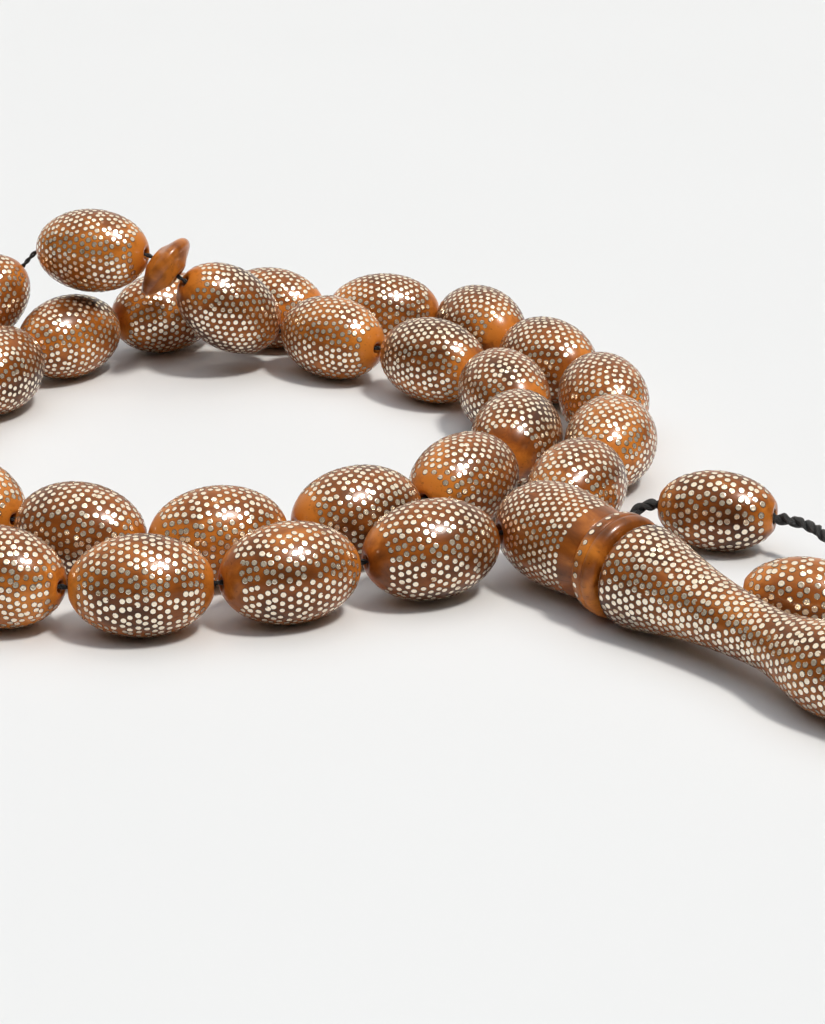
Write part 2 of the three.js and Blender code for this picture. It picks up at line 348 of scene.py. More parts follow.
def revolve(profile, sides, closed=True):
    """A turned solid about its own long axis, from (along, radius) points.

    The points close on themselves when there is a bore.
    """
    bm = bmesh.new()
    rings = [[bm.verts.new((x, y, along)) for x, y in circle(radius, sides)] for along, radius in profile]
    for a, b in zip(rings, rings[1:] + rings[:1] if closed else rings[1:]):
        for k in range(sides):
            m = (k + 1) % sides
            bm.faces.new((a[k], a[m], b[m], b[k]))
    if not closed:
        bm.faces.new(reversed(rings[0]))
        bm.faces.new(rings[-1])
    bmesh.ops.recalc_face_normals(bm, faces=bm.faces)
    return bm


def egg_profile(diameter, length, end_radius, bore, steps=30):
    """The outside of a bored egg, then its whole profile: outside, eased end flats and bore wall."""
    r, half = diameter / 2, length / 2
    last = math.acos(end_radius / r)
    angles = [last * (2 * i / steps - 1) for i in range(steps + 1)]
    outside = [(half * math.sin(a), r * math.cos(a)) for a in angles]
    end = outside[-1][0]
    ease = 0.12 * MM
    mouth = bore + 0.18 * MM
    top = [(end + 0.2 * ease, end_radius - 0.9 * ease), (end, mouth),
           (end - 0.7 * ease, bore + 0.25 * ease), (end - 3 * ease, bore)]
    bottom = [(-a, q) for a, q in reversed(top)]
    return outside, outside + top + bottom


def run_along(points):
    """How far along a profile each of its points is."""
    return np.concatenate([[0], np.cumsum(np.hypot(*np.diff(points, axis=0).T))])


def eased(a, a_pull, b, b_pull, t):
    """The place at share t of a soft curve from a to b, with how hard it leaves and arrives."""
    return (a * (2 * t**3 - 3 * t**2 + 1) + a_pull * (t**3 - 2 * t**2 + t)
            + b * (3 * t**2 - 2 * t**3) + b_pull * (t**3 - t**2))


def smooth_profile(points, step):
    """Even, rounded points through a few chosen (along, radius) ones."""
    p = np.array(points, float)
    d = run_along(p)
    m = np.empty_like(p)
    m[1:-1] = (p[2:] - p[:-2]) / (d[2:] - d[:-2])[:, None]
    m[0] = (p[1] - p[0]) / (d[1] - d[0])
    m[-1] = (p[-1] - p[-2]) / (d[-1] - d[-2])
    out = []
    for i in range(len(p) - 1):
        h = d[i + 1] - d[i]
        for t in np.arange(0, 1, 1 / max(1, round(h / step))):
            out.append(eased(p[i], m[i] * h, p[i + 1], m[i + 1] * h, t))
    out.append(p[-1])
    return [tuple(q) for q in out]


# Shares of the pitch: from row to row, and from pin to pin in a row.
ROW_SHARE, RING_SHARE = 0.84, 1.01
# A row keeps the last row's count of pins until it is this share off.
COUNT_SLACK = 0.09
# The share of pins that were never set.
MISSING = 0.012


def pin_places(outside, start, end, pitch, wander, rng):
    """Staggered rings of pins on a turned face.

    Each is (place, outward way), in the piece's own directions.
    """
    p = np.array(outside, float)
    d = run_along(p)
    lo, hi = np.interp([start, end], p[:, 0], d)
    rows = max(1, round((hi - lo) / (pitch * ROW_SHARE)))
    reach = pitch * 0.3
    spare = pitch * 0.2
    places = []
    twist = rng.uniform(0, 6.28)
    count = 0
    for row in range(rows + 1):
        at = lo + (hi - lo) * row / rows
        ideal = 2 * math.pi * float(np.interp(at, d, p[:, 1])) / (pitch * RING_SHARE)
        if abs(ideal - count) > COUNT_SLACK * ideal:
            count = max(5, round(ideal))
        twist += math.pi / count
        lean = rng.uniform(-0.1, 0.1) * pitch
        for k in range(count):
            if rng.random() < MISSING:
                continue
            s = min(max(at + lean + rng.normal(0, wander) * pitch, lo - spare), hi + spare)
            s = min(max(s, d[0]), d[-1])
            a, q = (float(np.interp(s, d, p[:, i])) for i in (0, 1))
            ahead, behind = ([np.interp(s + e, d, p[:, i]) for i in (0, 1)] for e in (reach, -reach))
            ds = np.subtract(ahead, behind)
            ds /= np.hypot(*ds)
            turn = twist + 2 * math.pi * k / count + rng.normal(0, wander) * pitch / max(q, pitch)
            out = (ds[0] * math.cos(turn), ds[0] * math.sin(turn), -ds[1])
            places.append(((q * math.cos(turn), q * math.sin(turn), a), out))
    return places


# ---- inlay

# A wire end from its middle out: (share of its radius, height in millimetres). The last three are filler.
PIN_ROWS = [(0.60, 0.007), (0.90, 0.012), (1.0, 0.003), (1.17, 0.001), (1.21, -0.05)]
PIN_MIDDLE = 0.005
PIN_SIDES = 8
# The places of the materials on a finished piece, after the wood.
SILVER, FILLER = 1, 2


def linked(name, mesh):
    """A mesh as an object in the scene."""
    ob = bpy.data.objects.new(name, mesh)
    bpy.context.scene.collection.objects.link(ob)
    return ob


def mesh_from(name, bm, *finishes):
    """A mesh from what was modelled, with its materials."""
    mesh = bpy.data.meshes.new(name)
    bm.to_mesh(mesh)
    bm.free()
    for finish in finishes:
        mesh.materials.append(bpy.data.materials[finish])
    return mesh


def pin_shape(radius):
    """One wire end: all but flush, its middle filed a little lower than its rim, in a narrow dark ring."""
    bm = bmesh.new()
    centre = bm.verts.new((0, 0, PIN_MIDDLE * MM))
    rings = [[bm.verts.new((x, y, h * MM)) for x, y in circle(q * radius, PIN_SIDES)] for q, h in PIN_ROWS]
    for k in range(PIN_SIDES):
        m = (k + 1) % PIN_SIDES
        bm.faces.new((centre, rings[0][k], rings[0][m])).material_index = SILVER
        for i, (inner, outer) in enumerate(zip(rings, rings[1:])):
            face = bm.faces.new((inner[k], outer[k], outer[m], inner[m]))
            face.material_index = SILVER if i < 2 else FILLER
    bm.faces.new(rings[-1][::-1]).material_index = FILLER
    for face in bm.faces:
        face.smooth = len(face.verts) < PIN_SIDES
    return linked("pin", mesh_from("pin", bm, "polished_wood", "silver_pin", "dark_filler"))


def inlay_tree(pin):
    """Sets a pin on every point of a cloud, facing the way its point says, and joins them to the wood."""
    tree = bpy.data.node_groups.new("Set pins", "GeometryNodeTree")
    face = tree.interface
    face.new_socket("Geometry", in_out="INPUT", socket_type="NodeSocketGeometry")
    face.new_socket("Wood", in_out="INPUT", socket_type="NodeSocketObject")
    numbers = (("Least size", 0.93, 0.2, 2), ("Greatest size", 1.08, 0.2, 2), ("Lean", 0.07, 0, 1))
    for name, default, low, high in numbers:
        s = face.new_socket(name, in_out="INPUT", socket_type="NodeSocketFloat")
        s.default_value, s.min_value, s.max_value = default, low, high
    s = face.new_socket("Seed", in_out="INPUT", socket_type="NodeSocketInt")
    s.default_value = 11
    face.new_socket("Geometry", in_out="OUTPUT", socket_type="NodeSocketGeometry")
    nodes, links = tree.nodes, tree.links

    def node(kind, **settings):
        n = nodes.new(kind)
        for k, v in settings.items():
            setattr(n, k, v)
        return n

    given, result = node("NodeGroupInput"), node("NodeGroupOutput")
    way = node("GeometryNodeInputNamedAttribute", data_type="FLOAT_VECTOR")
    way.inputs["Name"].default_value = "outward"
    turn = node("FunctionNodeAlignRotationToVector", axis="Z")
    links.new(way.outputs["Attribute"], turn.inputs["Vector"])
    lean = node("FunctionNodeRandomValue", data_type="FLOAT_VECTOR")
    size = node("FunctionNodeRandomValue", data_type="FLOAT")
    least = node("ShaderNodeVectorMath", operation="MULTIPLY")
    least.inputs[1].default_value = (-1, -1, 6)
    most = node("ShaderNodeVectorMath", operation="MULTIPLY")
    most.inputs[1].default_value = (1, 1, -6)
    for v, n in ((least, "Min"), (most, "Max")):
        links.new(given.outputs["Lean"], v.inputs[0])
        links.new(v.outputs[0], lean.inputs[n])
    links.new(given.outputs["Seed"], lean.inputs["Seed"])
    links.new(given.outputs["Least size"], size.inputs[2])
    links.new(given.outputs["Greatest size"], size.inputs[3])
    links.new(given.outputs["Seed"], size.inputs["Seed"])
    tip = node("FunctionNodeRotateRotation", rotation_space="LOCAL")
    links.new(turn.outputs[0], tip.inputs[0])
    lean_turn = node("FunctionNodeEulerToRotation")
    links.new(lean.outputs["Value"], lean_turn.inputs[0])
    links.new(lean_turn.outputs[0], tip.inputs[1])
    shape = node("GeometryNodeObjectInfo")
    shape.inputs["Object"].default_value = pin
    place = node("GeometryNodeInstanceOnPoints")
    links.new(given.outputs["Geometry"], place.inputs["Points"])
    links.new(shape.outputs["Geometry"], place.inputs["Instance"])
    links.new(tip.outputs[0], place.inputs["Rotation"])
    links.new(size.outputs[1], place.inputs["Scale"])
    real = node("GeometryNodeRealizeInstances")
    links.new(place.outputs[0], real.inputs[0])
    body = node("GeometryNodeObjectInfo")
    links.new(given.outputs["Wood"], body.inputs["Object"])
    join = node("GeometryNodeJoinGeometry")
    links.new(real.outputs[0], join.inputs[0])
    links.new(body.outputs["Geometry"], join.inputs[0])
    kept = node("GeometryNodeInputMaterialIndex")
    wood = node("FunctionNodeCompare", data_type="INT", operation="EQUAL")
    links.new(kept.outputs[0], wood.inputs[2])
    paint = node("GeometryNodeSetMaterial")
    paint.inputs["Material"].default_value = bpy.data.materials["polished_wood"]
    links.new(join.outputs[0], paint.inputs[0])
    links.new(wood.outputs[0], paint.inputs["Selection"])
    links.new(paint.outputs[0], result.inputs[0])
    return tree


# Where a pale end starts, and over how much of the half-length it comes up.
PALE_FROM, PALE_RUN = 1.22, 0.45


def wood_mesh(name, bm, axis, centre, rng, tone, pale=0.0):
    """A turned solid put in its place, and the turn that put it there.

    What the wood's figure reads is stored on it. tone lightens all of it, and pale its ends.
    """
    turn = turned_frame(axis)
    own = [v.co.copy() for v in bm.verts]
    spin = Matrix.Rotation(rng.uniform(0, 6.28), 3, "Z")
    shift = Vector(rng.uniform(-1, 1, 3))
    bmesh.ops.transform(bm, matrix=Matrix.Translation(centre) @ turn.to_4x4(), verts=bm.verts)
    for face in bm.faces:
        face.smooth = True
    mesh = mesh_from(name, bm, "polished_wood")
    place = mesh.attributes.new("turned", "FLOAT_VECTOR", "POINT")
    place.data.foreach_set("vector", np.array([spin @ v + shift for v in own], np.float32).ravel())
    shade = mesh.attributes.new("tone", "FLOAT", "POINT")
    along = np.abs([v.z for v in own])
    rise = np.clip(along / along.max() / PALE_RUN - PALE_FROM, 0, 1)
    shade.data.foreach_set("value", (tone + pale * rise).astype(np.float32))
    return linked(name, mesh), turn


def set_pins(wood, turn, centre, places, seed, size=1.0):
    """The wood with its pins joined to it, as one plain mesh."""
    name = wood.name
    cloud = bpy.data.meshes.new(name + "_pins")
    cloud.from_pydata([turn @ Vector(p) + centre for p, _ in places], [], [])
    way = cloud.attributes.new("outward", "FLOAT_VECTOR", "POINT")
    way.data.foreach_set("vector", np.array([turn @ Vector(w) for _, w in places], np.float32).ravel())
    ob = linked(name + "_cloud", cloud)
    if "Set pins" not in bpy.data.node_groups:
        made["pin"] = pin_shape(bpy.context.scene.inlay_look.pin_radius)
        inlay_tree(made["pin"])
    tree = bpy.data.node_groups["Set pins"]
    mod = ob.modifiers.new("pins", "NODES")
    mod.node_group = tree
    sockets = {s.name: s.identifier for s in tree.interface.items_tree if s.in_out == "INPUT"}
    mod[sockets["Wood"]] = wood
    mod[sockets["Seed"]] = seed
    mod[sockets["Least size"]] = 0.93 * size
    mod[sockets["Greatest size"]] = 1.08 * size
    mod[sockets["Lean"]] = 0.07
    deps = bpy.context.evaluated_depsgraph_get()
    deps.update()
    mesh = bpy.data.meshes.new_from_object(
        ob.evaluated_get(deps), preserve_all_data_layers=True, depsgraph=deps)
    ob.modifiers.remove(mod)
    for spent in (ob, wood):
        bpy.data.objects.remove(spent)
    mesh.name = name
    return linked(name, mesh)


def stand_for(ob, node, body=None):
    """Hides a solid and makes a piece move with the body given, or with what the solid moved with."""
    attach(ob, body or frame["nodes"][node]["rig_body"])
    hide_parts(node)


def middle_of(node):
    low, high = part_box(node)
    return (low + high) / 2


def egg(name, diameter, length, end_radius, bore, seed, plain, tone, spread=1.0, size=1.0):
    """A bored, pinned egg on its joint's axis.

    plain is the bare share of the half-length at each end, spread widens the pitch, size the pins.
    """
    look = bpy.context.scene.inlay_look
    rng = np.random.default_rng(seed)
    outside, profile = egg_profile(diameter, length, end_radius, bore)
    joint = JOINTS[name]
    centre = Vector(joint["pos_m"])
    pale = rng.uniform(0.22, 0.42)
    wood, turn = wood_mesh(name + "_inlaid", revolve(profile, 56), joint["axis"], centre, rng, tone, pale)
    low, high = -length / 2 * (1 - plain[0]), length / 2 * (1 - plain[1])
    places = pin_places(outside, low, high, look.pitch * spread, look.wander, rng)
    ob = set_pins(wood, turn, centre, places, look.seed + seed, size)
    stand_for(ob, name)
    return ob


# ---- strings and cords

# How often the pattern along a cord repeats in a metre.
PLY_REPEAT = 250


def carried(points):
    """Each point of an open line, two ways square to the line that never twist, and the length so far."""
    last = len(points) - 1
    ways = [(points[min(i + 1, last)] - points[max(i - 1, 0)]).normalized() for i in range(last + 1)]
    side, run = ways[0].orthogonal().normalized(), 0.0
    for i, (p, way) in enumerate(zip(points, ways)):
        side = (side - way * side.dot(way)).normalized()
        if i:
            run += (p - points[i - 1]).length
        yield p, side, way.cross(side), run


def sweep(name, points, ring):
    """A closed tube along points: ring(i) gives its section there, as (sideways, second sideways)."""
    n, sides = len(points), len(ring(0))
    verts, faces, runs = [], [], []
    for i, (p, side, other, run) in enumerate(carried(points)):
        verts += [p + side * a + other * b for a, b in ring(i)]
        runs.append(run)
    for i in range(n - 1):
        for k in range(sides):
            m = (k + 1) % sides
            faces.append((i * sides + k, i * sides + m, (i + 1) * sides + m, (i + 1) * sides + k))
    faces.append(tuple(reversed(range(sides))))
    faces.append(tuple((n - 1) * sides + k for k in range(sides)))
    mesh = bpy.data.meshes.new(name)
    mesh.from_pydata(verts, [], faces)
    layer = mesh.uv_layers.new(name="ply")
    for poly in mesh.polygons:
        wall = len(poly.vertices) == 4
        seam = wall and max(v % sides for v in poly.vertices) == sides - 1
        for li in poly.loop_indices:
            i, k = divmod(mesh.loops[li].vertex_index, sides)
            across = 1.0 if seam and k == 0 else k / sides
            layer.data[li].uv = (runs[i] * PLY_REPEAT, across)
        poly.use_smooth = wall
    return mesh


def even_points(points, step):
    """Points a step apart along a soft curve through the given ones, and the curve's length."""
    p = [Vector(q) for q in points]
    p = [p[0] * 2 - p[1]] + p + [p[-1] * 2 - p[-2]]
    fine = []
    for i in range(1, len(p) - 2):
        a, b, c, d = p[i - 1:i + 3]
        ta = 0.0
        tb = ta + math.sqrt((b - a).length)
        tc = tb + math.sqrt((c - b).length)
        td = tc + math.sqrt((d - c).length)
        for k in range(24):
            t = tb + (tc - tb) * k / 24
            a1 = a * ((tb - t) / (tb - ta)) + b * ((t - ta) / (tb - ta))
            a2 = b * ((tc - t) / (tc - tb)) + c * ((t - tb) / (tc - tb))
            a3 = c * ((td - t) / (td - tc)) + d * ((t - tc) / (td - tc))
            b1 = a1 * ((tc - t) / (tc - ta)) + a2 * ((t - ta) / (tc - ta))
            b2 = a2 * ((td - t) / (td - tb)) + a3 * ((t - tb) / (td - tb))
            fine.append(b1 * ((tc - t) / (tc - tb)) + b2 * ((t - tb) / (tc - tb)))
    fine.append(p[-2])
    runs = np.concatenate([[0], np.cumsum([(b - a).length for a, b in zip(fine, fine[1:])])])
    at = np.linspace(0, runs[-1], max(2, round(runs[-1] / step)) + 1)
    xyz = np.array(fine)
    return [Vector([np.interp(s, runs, xyz[:, i]) for i in range(3)]) for s in at], float(runs[-1])


def plies(points, diameter, count, lay, rng):
    """Centre lines of the twisted plies of a cord, with a little hand-made unevenness."""
    start = rng.uniform(0, 6.28)
    lines = [[] for _ in range(count)]
    drift = rng.uniform(-1, 1, 2) * 10
    for p, side, other, run in carried(points):
        wave = noise.noise(Vector((run * 420, drift[0], drift[1])))
        turn = start + 2 * math.pi * run / lay + 0.9 * wave
        out = diameter * 0.25 * (1 + 0.22 * noise.noise(Vector((run * 700, drift[1], 3.0))))
        for k in range(count):
            a = turn + 2 * math.pi * k / count
            lines[k].append(p + (side * math.cos(a) + other * math.sin(a)) * out)
    return lines


def joined(name, meshes):
    """Several threads as one piece."""
    bm = bmesh.new()
    for mesh in meshes:
        bm.from_mesh(mesh)
        bpy.data.meshes.remove(mesh)
    return linked(name, mesh_from(name, bm, "black_thread"))


def round_ring(radius, sides, lobes=0.0, turn=0.0):
    """A round section, or one drawn out to two lobes by that share, which lean by turn."""
    ring = []
    for k in range(sides):
        a = 2 * math.pi * k / sides
        r = radius * (1 + lobes * math.cos(2 * (a - turn)))
        ring.append((r * math.cos(a), r * math.sin(a)))
    return ring


def knot_line(centre, axis, across, thick, seed):
    """An overhand knot drawn tight, as one closed trefoil of cord."""
    turn = turned_frame(axis)
    spin = Matrix.Rotation(np.random.default_rng(seed).uniform(0, 6.28), 3, "Z")
    reach = (across - thick) / 2 / 3.0
    steps = 72
    line = []
    for k in range(steps):
        t = 2 * math.pi * k / steps
        x = (math.sin(t) + 2 * math.sin(2 * t)) * reach
        y = (math.cos(t) - 2 * math.cos(2 * t)) * reach
        z = -math.sin(3 * t) * reach * 1.25
        line.append(Vector(centre) + turn @ (spin @ Vector((x, y, z))))
    return line


def closed_tube(name, line, radius, sides, lobes, turns):
    """A tube along a closed line, its section turning by that many half turns on the way round."""
    n = len(line)
    ways = [(line[(i + 1) % n] - line[i - 1]).normalized() for i in range(n)]
    side = ways[0].orthogonal().normalized()
    sides_at = []
    for w in ways:
        side = (side - w * side.dot(w)).normalized()
        sides_at.append(side.copy())
    back = (side - ways[0] * side.dot(ways[0])).normalized()
    slip = math.atan2(back.cross(sides_at[0]).dot(ways[0]), back.dot(sides_at[0]))
    verts, faces = [], []
    for i, (p, w) in enumerate(zip(line, ways)):
        s = Matrix.Rotation(slip * i / n, 3, w) @ sides_at[i]
        o = w.cross(s)
        verts += [p + s * a + o * b for a, b in round_ring(radius, sides, lobes, turns * math.pi * i / n)]
    for i in range(n):
        j = (i + 1) % n
        for k in range(sides):
            m = (k + 1) % sides
            faces.append((i * sides + k, i * sides + m, j * sides + m, j * sides + k))
    mesh = bpy.data.meshes.new(name)
    mesh.from_pydata(verts, [], faces)
    layer = mesh.uv_layers.new(name="ply")
    for poly in mesh.polygons:
        low = min(v // sides for v in poly.vertices)
        for li in poly.loop_indices:
            i, k = divmod(mesh.loops[li].vertex_index, sides)
            if low == 0 and i == n - 1:
                i = -1
            layer.data[li].uv = (i * 0.05, k / sides)
        poly.use_smooth = True
    bm = bmesh.new()
    bm.from_mesh(mesh)
    bmesh.ops.recalc_face_normals(bm, faces=bm.faces)
    bm.to_mesh(mesh)
    bm.free()
    return mesh


# ---- the imam

IMAM_AXIS = Vector(COLLAR_JOINT["axis"]).normalized()
IMAM_START = Vector(COLLAR_JOINT["pos_m"]) + IMAM_AXIS * 0.4 * MM
CROSS_AT = -14.05 * MM
AXIAL_BORE = 1.15 * MM
CROSS_BORE = 0.95 * MM
# Profiles are (along the imam, radius) in millimetres, from IMAM_START towards the foot.
HEAD_OUTSIDE = [
    (-17, 0.0), (-16.92, 1.05), (-16, 2.5), (-14, 4.1), (-12, 4.85), (-10, 5.15), (-8, 5.15), (-6, 5.0),
    (-4, 4.75), (-2.5, 4.42),
]
HEAD_FACE = [(-2.32, 4.25), (-2.3, 4.1), (-2.3, 2.2)]
COLLAR_OUTSIDE = [
    (-1.98, 4.6), (-1.9, 4.9), (-1.6, 5.12), (-1.1, 5.24), (-0.6, 5.24), (-0.42, 5.12), (-0.26, 5.22),
    (0.1, 5.29), (0.45, 5.18), (0.75, 4.95), (0.98, 4.55), (1.12, 4.0),
]
COLLAR_INSIDE = [(1.15, 3.8), (1.15, 1.35), (1.0, 1.15), (-1.85, 1.15), (-2.0, 1.35), (-2.0, 4.3)]
BODY_OUTSIDE = [
    (1.5, 4.1), (1.62, 4.55), (1.85, 4.9), (2.2, 5.1), (2.8, 5.17), (4, 5.05), (6, 4.62), (8, 4.15),
    (11, 3.6), (14, 3.22), (17, 3.0), (19, 2.9), (20.5, 2.95), (22, 3.2), (23.5, 3.58), (25, 3.93),
    (26.3, 4.18), (27.5, 4.25), (29, 4.18), (31, 3.95), (33, 3.6), (35, 3.2), (37, 2.85), (38.8, 2.62),
    (39.8, 2.9), (40.6, 3.1), (41.3, 3.0), (41.7, 2.7),
]
BODY_INSIDE = [(41.8, 2.4), (41.8, 1.4), (41.6, 1.15), (1.6, 1.15), (1.45, 1.35), (1.45, 3.9)]
# Where the pins start and end along each piece. The collar's two rows all but meet, and one is kept.
HEAD_PINS = (-16.7, -4.5)
COLLAR_PINS = (-1.12, -1.11)
BODY_PINS = (2.0, 41.2)


def imam_at(s):
    """The place that far along the imam."""
    return IMAM_START + IMAM_AXIS * s


def in_metres(points):
    return [(a * MM, q * MM) for a, q in points]


def cross_way():
    """The way the string crosses the head: from the near end of the last bead to that of the first."""
    first, last = JOINTS[BEADS[0]], JOINTS[BEADS[-1]]
    reach = 0.51 * bpy.context.scene.bead_sizes.bead_length
    way = Vector(first["pos_m"]) - Vector(first["axis"]) * reach
    way = way - Vector(last["pos_m"]) - Vector(last["axis"]) * reach
    way.z = 0
    return way.normalized()


def bored(bm, cutters):
    """A solid with round holes cut through it: each cutter is (matrix, radius, length)."""
    blank = linked("blank", mesh_from("blank", bm))
    tools = []
    for matrix, radius, length in cutters:
        drill = bmesh.new()
        bmesh.ops.create_cone(drill, cap_ends=True, segments=32, radius1=radius, radius2=radius,
                              depth=length, matrix=matrix)
        tool = linked("drill", mesh_from("drill", drill))
        mod = blank.modifiers.new("drill", "BOOLEAN")
        mod.operation, mod.solver, mod.object = "DIFFERENCE", "EXACT", tool
        tools.append(tool)
    deps = bpy.context.evaluated_depsgraph_get()
    deps.update()
    done = bpy.data.meshes.new_from_object(blank.evaluated_get(deps), depsgraph=deps)
    out = bmesh.new()
    out.from_mesh(done)
    for ob in tools + [blank]:
        bpy.data.objects.remove(ob)
    if not out.faces:
        raise RuntimeError("drilling left nothing")
    return out


def build_head():
    """The head, bored along from its flat face and across for the strand."""
    look = bpy.context.scene.inlay_look
    rng = np.random.default_rng(801)
    outside = smooth_profile(in_metres(HEAD_OUTSIDE), 0.5 * MM)
    bm = revolve(outside + in_metres(HEAD_FACE), 64, closed=False)
    bmesh.ops.remove_doubles(bm, verts=bm.verts, dist=0.01 * MM)
    across = turned_frame(IMAM_AXIS).transposed() @ cross_way()
    axial = Matrix.Translation((0, 0, CROSS_AT / 2 - 0.5 * MM))
    cross = Matrix.Translation((0, 0, CROSS_AT)) @ across.to_track_quat("Z", "Y").to_matrix().to_4x4()
    bm = bored(bm, [(axial, AXIAL_BORE, -CROSS_AT - 1 * MM), (cross, CROSS_BORE, 14 * MM)])
    wood, turn = wood_mesh("head_inlaid", bm, IMAM_AXIS, IMAM_START, rng, 0.03)
    start, end = (s * MM for s in HEAD_PINS)
    places = pin_places(outside, start, end, look.pitch * 0.90, look.wander * 0.7, rng)
    mouth = Vector((0, 0, CROSS_AT))
    clear = CROSS_BORE + look.pin_radius * 1.3
    places = [p for p in places if (Vector(p[0]) - mouth).cross(across).length > clear]
    stand_for(set_pins(wood, turn, IMAM_START, places, look.seed + 801, 0.92), "imam_head")


def build_collar():
    """The ring under the head, with one row of pins."""
    look = bpy.context.scene.inlay_look
    rng = np.random.default_rng(802)
    outside = smooth_profile(in_metres(COLLAR_OUTSIDE), 0.12 * MM)
    ring = revolve(outside + in_metres(COLLAR_INSIDE), 96)
    wood, turn = wood_mesh("collar_inlaid", ring, IMAM_AXIS, IMAM_START, rng, 0.10)
    start, end = (s * MM for s in COLLAR_PINS)
    places = pin_places(outside, start, end, look.pitch * 1.25, look.wander * 0.5, rng)
    one_row = places[:len(places) // 2]
    stand_for(set_pins(wood, turn, IMAM_START, one_row, look.seed + 802), "imam_collar")


def build_imam_body():
    """The long lower piece, pinned from its shoulder to its foot."""
    look = bpy.context.scene.inlay_look
    rng = np.random.default_rng(803)
    outside = smooth_profile(in_metres(BODY_OUTSIDE), 0.5 * MM)
    bm = revolve(outside + in_metres(BODY_INSIDE), 64)
    wood, turn = wood_mesh("body_inlaid", bm, IMAM_AXIS, IMAM_START, rng, 0.0)
    start, end = (s * MM for s in BODY_PINS)
    places = pin_places(outside, start, end, look.pitch * 0.96, look.wander * 0.8, rng)
    stand_for(set_pins(wood, turn, IMAM_START, places, look.seed + 803, 1.05), "imam_body")


# ---- dividers

def build_divider(name):
    """A plain disc with a rounded rim and a hub at each side."""
    sizes = bpy.context.scene.bead_sizes
    rng = np.random.default_rng(700 + int(name[-1]))
    r, h, bore = sizes.divider_diameter / 2, sizes.divider_thickness / 2, sizes.bore_radius
    half = [(0.985 * h, 1.6 * MM), (0.74 * h, 2.4 * MM), (0.46 * h, 0.84 * r), (0.31 * h, 0.94 * r),
            (0.13 * h, 0.99 * r)]
    outside = smooth_profile([(-a, q) for a, q in half] + [(0, r)] + half[::-1], 0.25 * MM)
    end = [(h, 1.4 * MM), (h, bore + 0.2 * MM), (h - 0.2 * MM, bore)]
    disc = revolve(outside + end + [(-a, q) for a, q in reversed(end)], 64)
    joint = JOINTS[name]
    wood, _ = wood_mesh(name + "_turned", disc, joint["axis"], Vector(joint["pos_m"]), rng, 0.10)
    stand_for(wood, name)


# ---- string, cords and knots

FOOT_END = 41.8 * MM
FOOT_KNOT = 4.0 * MM
TASSEL_KNOT = 2.6 * MM
KNOT_FILL = 0.97
STRAND = BEADS[:11] + ["divider_1"] + BEADS[11:22] + ["divider_2"] + BEADS[22:]
# How far from a piece's middle it holds the string straight, as a share of its length.
HELD_IN_BEAD, HELD_IN_DIVIDER = 0.43, 0.4
# Where the string passes inside the imam, from the crossing bore to the foot.
INSIDE_IMAM = (-13.3, -12.2, -10, -6, -2.2, 1.3, 10, 20, 30, 42.4)
# Where each tassel cord runs, in millimetres, from the knot at the foot to its own knotted end.
TASSEL_ROUTES = [
    [(50.5, 203.0, 4.5), (53.0, 201.9, 3.6), (55.8, 203.3, 2.3), (58.2, 207.7, 1.3), (59.0, 214.0, 0.9),
     (58.2, 220.6, 0.8), (56.0, 227.0, 1.0), (52.6, 233.0, 1.8), (48.4, 238.4, 2.9), (45.0, 243.2, 3.8),
     (42.1, 248.0, 4.3), (40.1, 251.9, 4.5), (37.4, 254.5, 4.2), (31.4, 256.7, 4.15), (25.2, 258.8, 4.0),
     (24.4, 258.9, 3.9), (23.5, 258.8, 3.5), (22.8, 258.4, 2.9), (22.5, 257.8, 2.3), (22.4, 256.9, 1.6),
     (22.5, 255.7, 1.1), (23.0, 254.5, 0.9), (23.7, 253.4, 0.9)],
    [(49.0, 202.2, 2.8), (50.7, 200.7, 1.9), (52.8, 201.3, 1.1), (53.8, 204.6, 0.9), (53.0, 209.6, 0.8),
     (52.4, 214.6, 0.8), (52.3, 219.6, 1.1), (51.8, 224.2, 2.0), (50.2, 228.2, 3.1), (47.6, 231.1, 3.9),
     (43.9, 232.7, 4.15), (37.5, 234.2, 4.15), (31.3, 235.65, 4.2), (30.2, 236.2, 4.1), (29.2, 237.2, 3.6),
     (28.5, 238.5, 2.8), (28.3, 240.0, 2.0), (28.6, 241.4, 1.5)],
]
# Where the knot at the foot is in those same figures.
FOOT_POINT = (48.5, 204.65)


def foot_knot_at():
    return imam_at(FOOT_END + 1.2 * MM + 0.45 * FOOT_KNOT)


def tassel_route(i):
    """A tassel cord's route on the floor, set off from where the foot's knot is."""
    foot = foot_knot_at()
    return [Vector((foot.x + (x - FOOT_POINT[0]) * MM, foot.y + (y - FOOT_POINT[1]) * MM, z * MM))
            for x, y, z in TASSEL_ROUTES[i]]


def bent(a, a_way, b, b_way, count=6):
    """Points of a soft bend between two ends, each with the way the string goes there."""
    pull = (b - a).length * 0.9
    return [eased(a, a_way * pull, b, b_way * pull, k / count) for k in range(1, count)]


